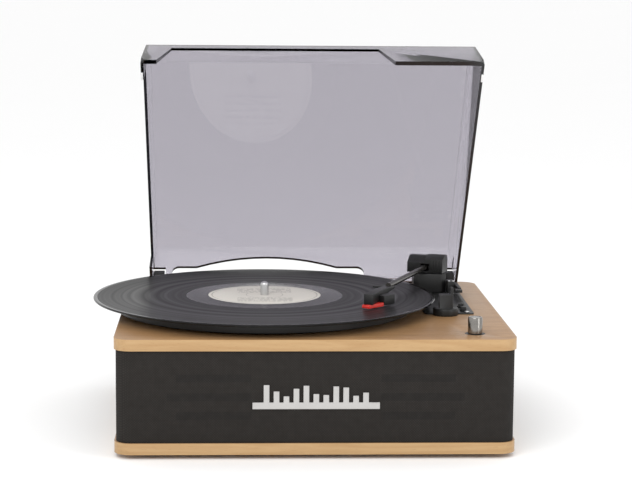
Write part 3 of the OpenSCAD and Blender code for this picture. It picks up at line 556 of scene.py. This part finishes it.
def label_paper():
    finish, tree, shader = new_finish("label_paper")
    place = object_place(tree, centre=(record_axis.x, record_axis.y, 0))
    rings = place_group(tree, RINGS, {"Vector": place, "Per metre": GROOVES_PER_METRE})
    parts = add_node(tree, "ShaderNodeSeparateXYZ", {}, {"Vector": place}).outputs
    print_rings = calc(tree, "ADD", between(tree, rings["Radius"], 46.2 * MM, 46.8 * MM),
                       between(tree, rings["Radius"], 16.0 * MM, 16.4 * MM))
    rows = calc(tree, "FRACT", calc(tree, "MULTIPLY", parts["Y"], 1 / RULE_PITCH))
    ruled = between(tree, rows, 0.35, 0.72)
    breaks = add_node(tree, "ShaderNodeTexNoise", {}, {"Vector": object_place(tree, stretch=(1, 0.6, 1))})
    feed(tree, breaks, {"Scale": 420.0, "Detail": 1})
    ruled = calc(tree, "MULTIPLY", ruled, calc(tree, "GREATER_THAN", breaks.outputs["Fac"], 0.47))
    within = calc(tree, "LESS_THAN", calc(tree, "ABSOLUTE", parts["X"]), RULE_HALF)
    ruled = calc(tree, "MULTIPLY", ruled, within)
    near = calc(tree, "ABSOLUTE", calc(tree, "ADD", parts["Y"], 2 * MM))
    ruled = calc(tree, "MULTIPLY", ruled, between(tree, near, RULES_FROM, RULES_TO))
    printed = calc(tree, "MINIMUM", calc(tree, "ADD", print_rings, ruled), 1.0)
    mottle = place_group(tree, MOTTLE, {"Vector": place, "Scale": 600.0, "Dark": PAPER_DARK,
                                        "Light": PAPER_LIGHT, "Smooth": 0.5, "Rough": 0.65})
    colour = blend_colour(tree, calc(tree, "MULTIPLY", printed, INK_STRENGTH), mottle["Colour"], INK)
    feed(tree, shader, {"Base Color": colour, "Roughness": mottle["Roughness"]})
    bump_from(tree, shader, mottle["Height"], 0.00002)
    return finish


LABEL = label_paper()
print("record finishes", VINYL.name, LABEL.name)


# %% [markdown]
# ## Tinted cover
# The dust cover is a clear plastic sheet with a smoky lilac tint. Light that crosses the sheet is tinted,
# but light that meets a cut edge travels far inside it, so the free edges look almost black. They get an
# opaque near-black finish of their own, which is painted shade standing in for that lost light. A shadow
# ray is let through, tinted, because the sheet throws only a faint shadow.

# %% Smoked sheet and its cut edges
SHEET_TINT = (0.46, 0.44, 0.49)
SHADOW_TINT = (0.72, 0.71, 0.74)
TINT_CHANGE = 1.06
ACRYLIC_IOR = 1.49


def smoked_sheet():
    finish, tree, shader = new_finish("smoked_sheet")
    feed(tree, shader, {"IOR": ACRYLIC_IOR, "Transmission Weight": 1.0})
    mottle = place_group(tree, MOTTLE, {"Vector": object_place(tree), "Scale": 60.0,
                                        "Dark": (*SHEET_TINT, 1),
                                        "Light": (*[value * TINT_CHANGE for value in SHEET_TINT], 1),
                                        "Smooth": 0.012, "Rough": 0.03})
    feed(tree, shader, {"Base Color": mottle["Colour"], "Roughness": mottle["Roughness"]})
    clear = add_node(tree, "ShaderNodeBsdfTransparent", {}, {"Color": (*SHADOW_TINT, 1)})
    rays = add_node(tree, "ShaderNodeLightPath")
    mix = add_node(tree, "ShaderNodeMixShader", {}, {0: rays.outputs["Is Shadow Ray"]})
    tree.links.new(shader.outputs[0], mix.inputs[1])
    tree.links.new(clear.outputs[0], mix.inputs[2])
    tree.links.new(mix.outputs[0], tree.nodes["Material Output"].inputs["Surface"])
    return finish


SHEET = smoked_sheet()
# The cut edge finish is painted shade: near-black in place of the light lost inside the sheet.
SHEET_EDGE_SHADE = mottled("smoked_edge_painted_shade", (0.010, 0.010, 0.012), (0.02, 0.02, 0.024), 0.12, 0.2, scale=200)
print("cover finishes", SHEET.name, SHEET_EDGE_SHADE.name)

# %% [markdown]
# ## Floor finish
# The floor is plain matt paper, so it only needs the faint tooth of paper.

# %% Floor paper
PAPER = mottled("floor_paper", grey(0.965), grey(0.98), 0.9, 1.0, scale=40)
floor_mesh.materials.append(PAPER)
print("floor", PAPER.name)


# %% [markdown]
# ## Helpers for pieces
# A piece that replaces a node must ride on the node's body, carry the finishes it is given and keep its
# place in its mesh. One function sees to all of that, and hides the node.

# %% Turn a bmesh into a riding piece
SHARP_ANGLE = math.radians(28)


def make_piece(name, shape, finishes, *nodes):
    mesh = bpy.data.meshes.new(name)
    shape.to_mesh(mesh)
    shape.free()
    for finish in finishes:
        mesh.materials.append(finish)
    mesh.shade_smooth()
    mesh.set_sharp_from_angle(angle=SHARP_ANGLE)
    piece = bpy.data.objects.new(name, mesh)
    scene.collection.objects.link(piece)
    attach(piece, body_of[nodes[0]])
    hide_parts(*nodes)
    return piece


# %% [markdown]
# Real edges are never knife sharp. A softened piece starts as a copy of its node: the
# loose triangles are merged, flat areas become single faces, and every corner that is
# sharp enough gets a narrow round bevel that catches the light.

# %% A softened copy of a node
MERGE_GAP = 0.002 * MM
FLAT_ANGLE = math.radians(1)


def merged_copy(node):
    shape = bmesh.new()
    shape.from_mesh(frame["nodes"][node].data)
    bmesh.ops.remove_doubles(shape, verts=shape.verts, dist=MERGE_GAP)
    bmesh.ops.dissolve_limit(shape, angle_limit=FLAT_ANGLE, verts=shape.verts, edges=shape.edges)
    for face in shape.faces:
        face.material_index = 0
    return shape


def soften(shape, width, segments=2, angle=40):
    sharp = [edge for edge in shape.edges
             if edge.is_manifold and edge.calc_face_angle(0) > math.radians(angle)]
    bmesh.ops.bevel(shape, geom=sharp, offset=width, offset_type="OFFSET", segments=segments,
                    profile=0.5, affect="EDGES", clamp_overlap=True, material=-1)
    bmesh.ops.remove_doubles(shape, verts=shape.verts, dist=0.0005 * MM)
    return shape


def softened(node, finish, width, segments=2):
    shape = soften(merged_copy(node), width, segments)
    return make_piece(node + "_finished", shape, [finish], node)


# %% [markdown]
# Turned parts are drawn as half an outline and spun round their axis.

# %% A turned piece
def spun(outline, axis, steps=128):
    shape = bmesh.new()
    points = [shape.verts.new((axis.x + radius, axis.y, height)) for radius, height in outline]
    edges = [shape.edges.new(pair) for pair in zip(points, points[1:])]
    bmesh.ops.spin(shape, geom=points + edges, cent=(axis.x, axis.y, 0), axis=(0, 0, 1),
                   angle=math.tau, steps=steps, use_merge=True, use_duplicate=False)
    bmesh.ops.remove_doubles(shape, verts=shape.verts, dist=0.001 * MM)
    bmesh.ops.recalc_face_normals(shape, faces=shape.faces)
    return shape


def dress(finish, *nodes):
    for node in nodes:
        for place in frame["nodes"][node].material_slots:
            place.material = finish


# %% [markdown]
# ## Boards
# The top board and the base board have eased edges, like sanded timber. Faces that look up or down take the
# darker veneer finish, which also carries painted shade, and the rest take the lighter edge.

# %% Top and base board
EASED_EDGE = 1.1 * MM


def board(node):
    shape = soften(merged_copy(node), EASED_EDGE, 3)
    shape.normal_update()
    for face in shape.faces:
        # Up and down faces take the darker finish, which carries painted shade.
        face.material_index = 0 if abs(face.normal.z) > 0.9 else 1
    return make_piece(node + "_oak", shape, [OAK_FACE_SHADED, OAK_EDGE], node)


for name in ("top_board", "base_board"):
    piece = board(name)
    print(piece.name, len(piece.data.polygons), "faces")

# %% [markdown]
# ## Cloth wrap
# The cloth is one strip pulled round the case and tucked behind the boards. It stays a
# closed thin sheet with a softened rim.

# %% Stretched cloth
cloth_shape = soften(merged_copy("grille_cloth"), 0.3 * MM, 2)
cloth_piece = make_piece("speaker_cloth_wrap", cloth_shape, [CLOTH], "grille_cloth")

# %% [markdown]
# ## Badge
# The badge is a row of plain level bars on a long base bar, in satin silver.

# %% Badge
softened("badge", SATIN, 0.35 * MM, 2)

# %% [markdown]
# ## Record, label, mat and platter
# The record's real profile has a raised rim, a slightly lower grooved field and a
# raised middle under the label, so it is turned from an outline.

# %% Turned record
record_low = lowest("record").z
rim = highest("record").x - record_axis.x
hole = 3.65 * MM
label_edge = 49.6 * MM
label_seat = lowest("record_label").z
RECORD_OUTLINE = [
    (hole, record_low), (rim - 1.2 * MM, record_low), (rim - 0.4 * MM, record_low + 0.3 * MM),
    (rim, record_low + 0.8 * MM), (rim, record_top - 0.7 * MM), (rim - 0.4 * MM, record_top - 0.15 * MM),
    (rim - 1.2 * MM, record_top), (rim - 2.6 * MM, record_top - 0.05 * MM),
    (rim - 3.6 * MM, record_top - 0.3 * MM), (GROOVED_FROM, record_top - 0.3 * MM),
    (66 * MM, record_top - 0.2 * MM), (54 * MM, record_top - 0.2 * MM),
    (51.5 * MM, record_top), (label_edge, record_top), (label_edge, label_seat), (hole, label_seat),
    (hole, record_low)]
make_piece("record_pressing", spun(RECORD_OUTLINE, record_axis, 192), [VINYL], "record")
LABEL_OUTLINE = [
    (hole, label_seat), (label_edge, label_seat), (label_edge, record_top - 0.03 * MM),
    (label_edge - 0.1 * MM, record_top), (hole + 0.2 * MM, record_top), (hole, record_top - 0.05 * MM),
    (hole, label_seat)]
make_piece("record_label_paper", spun(LABEL_OUTLINE, record_axis, 128), [LABEL], "record_label")
print("record radius", round(rim / MM, 1), "mm")

# %% Platter and spindle
softened("platter", BLACK_PLASTIC, 0.5 * MM, 2)
dress(FELT, "slipmat")
spindle_low = lowest("spindle").z
spindle_top = highest("spindle").z
PIN = 3.6 * MM
NECK = 3.4 * MM
DOME = 2.6 * MM
DOME_STEPS = 6
SPINDLE_OUTLINE = [(0, spindle_low), (NECK - 0.4 * MM, spindle_low), (NECK, spindle_low + 0.4 * MM),
                   (NECK, record_top), (PIN, record_top), (PIN, spindle_top - DOME)]
for step in range(1, DOME_STEPS + 1):
    angle = math.radians(90 / DOME_STEPS * step)
    SPINDLE_OUTLINE.append((PIN * math.cos(angle), spindle_top - DOME * (1 - math.sin(angle))))
make_piece("spindle_turned", spun(SPINDLE_OUTLINE, record_axis, 64), [STEEL], "spindle")
print("spindle top", round(spindle_top / MM, 1), "mm")

# %% [markdown]
# ## Tonearm
# The arm's housings are moulded in black plastic with a fine texture and small radii.
# The tube is dark metal and the stylus guard is bright red.

# %% Arm pieces
for name, width in (("arm_plate", 0.4), ("arm_tower", 0.7), ("arm_rest", 0.5), ("arm_yoke", 0.6),
                    ("headshell", 0.5), ("finger_lift", 0.4), ("cartridge", 0.3),
                    ("cue_block", 0.6), ("cue_lever", 0.4), ("speed_switch", 0.3),
                    ("stop_switch", 0.3), ("hinge_brackets", 0.8), ("rear_panel", 0.3)):
    softened(name, BLACK_PLASTIC, width * MM)
softened("stylus", RED_PLASTIC, 0.35 * MM)
for name in ("arm_plate_screws", "cue_screws", "hinge_screws", "panel_screws"):
    softened(name, STEEL, 0.3 * MM)
dress(ARM_METAL, "arm_tube")
dress(STEEL, "arm_post", "lift_axle", "hinge_pins")

# %% [markdown]
# ## Volume knob
# The knob is turned from bar: straight sides, a narrow chamfer and a shallow dished
# top.

# %% Turned knob
knob_axis = middle("volume_knob")
knob_high = highest("volume_knob").z
knob_shaft_low = lowest("volume_knob").z
KNOB = 6.0 * MM
SHAFT = 3.0 * MM
knob_low = deck_top + 0.3 * MM
KNOB_OUTLINE = [
    (0, knob_shaft_low), (SHAFT, knob_shaft_low), (SHAFT, knob_low), (KNOB - 0.3 * MM, knob_low),
    (KNOB, knob_low + 0.3 * MM), (KNOB, knob_high - 0.9 * MM), (KNOB - 0.25 * MM, knob_high - 0.35 * MM),
    (KNOB - 0.8 * MM, knob_high), (KNOB - 1.3 * MM, knob_high), (KNOB - 1.6 * MM, knob_high - 0.25 * MM),
    (0, knob_high - 0.3 * MM)]
KNOB_METAL = mottled("turned_aluminium", (0.21, 0.2, 0.185), (0.31, 0.295, 0.275), 0.16, 0.28, metal=1.0,
                     stretch=(1, 1, 14), scale=200, depth=0.000008)
make_piece("volume_knob_turned", spun(KNOB_OUTLINE, knob_axis, 96), [KNOB_METAL], "volume_knob")
softened("knob_collar", BLACK_PLASTIC, 0.3 * MM)
print("knob", round((knob_high - deck_top) / MM, 1), "mm tall")

# %% [markdown]
# ## Dust cover
# The cover's shape comes from its node, and its folds get a small round, as in bent
# sheet. It also needs a way to tell the cut edges of the sheet from its broad faces.
# From a broad face, a ray sent straight into the sheet leaves it after one wall
# thickness. From a cut edge it runs far along the inside, and that is the test.

# %% Sheet with dark cut edges
SHEET_THICK = 2.5 * MM
FOLD_ANGLE = math.radians(12)
FOLD_ROUND = 1.6 * MM
PROBE_START = 0.02 * MM
FAR_THROUGH = 1.9 * SHEET_THICK


def cut_edges(shape):
    tree = BVHTree.FromBMesh(shape)
    found = []
    for face in shape.faces:
        start = face.calc_center_median() - face.normal * PROBE_START
        hit = tree.ray_cast(start, -face.normal)
        if hit[3] is not None and hit[3] > FAR_THROUGH:
            found.append(face)
    return found


def round_folds(shape):
    folds = [edge for edge in shape.edges
             if edge.is_manifold and edge.calc_face_angle(0) > FOLD_ANGLE
             and all(face.material_index == 0 for face in edge.link_faces)]
    bmesh.ops.bevel(shape, geom=folds, offset=FOLD_ROUND, offset_type="OFFSET", segments=4,
                    profile=0.5, affect="EDGES", clamp_overlap=True, material=-1)
    return len(folds)


cover_shape = merged_copy("lid")
cover_shape.normal_update()
edge_faces = cut_edges(cover_shape)
for face in edge_faces:
    face.material_index = 1
print(len(edge_faces), "of", len(cover_shape.faces), "faces are cut edges")
print(round_folds(cover_shape), "fold edges rounded")
make_piece("dust_cover_sheet", cover_shape, [SHEET, SHEET_EDGE_SHADE], "lid")
softened("lid_bumpers", CLEAR_PAD, 0.3 * MM)

# %% [markdown]
# ## Out of sight
# The parts inside and underneath are seldom seen, but a buyer may turn the player
# over or take it apart, so each gets its true finish as well.

# %% Inner and under parts
dress(RAW_BOARD, "cabinet_walls", "front_baffle")
dress(RUBBER, "rubber_feet", "drive_belt")
dress(STEEL, "foot_screws", "motor", "motor_screws", "switch_bodies", "aux_socket")
dress(SPEAKER_STEEL, "left_speaker_basket", "right_speaker_basket", "volume_control")
dress(PULP, "left_speaker_cone", "right_speaker_cone")
dress(FERRITE, "left_speaker_magnet", "right_speaker_magnet")
dress(BRASS, "line_sockets", "bearing_bush", "motor_pulley")
dress(CIRCUIT, "amplifier_board")
dress(NYLON, "board_standoffs")
dress(COMPONENT, "amplifier_parts")
dress(ALLOY, "heat_sink")
dress(BLACK_GLOSS, "power_inlet")
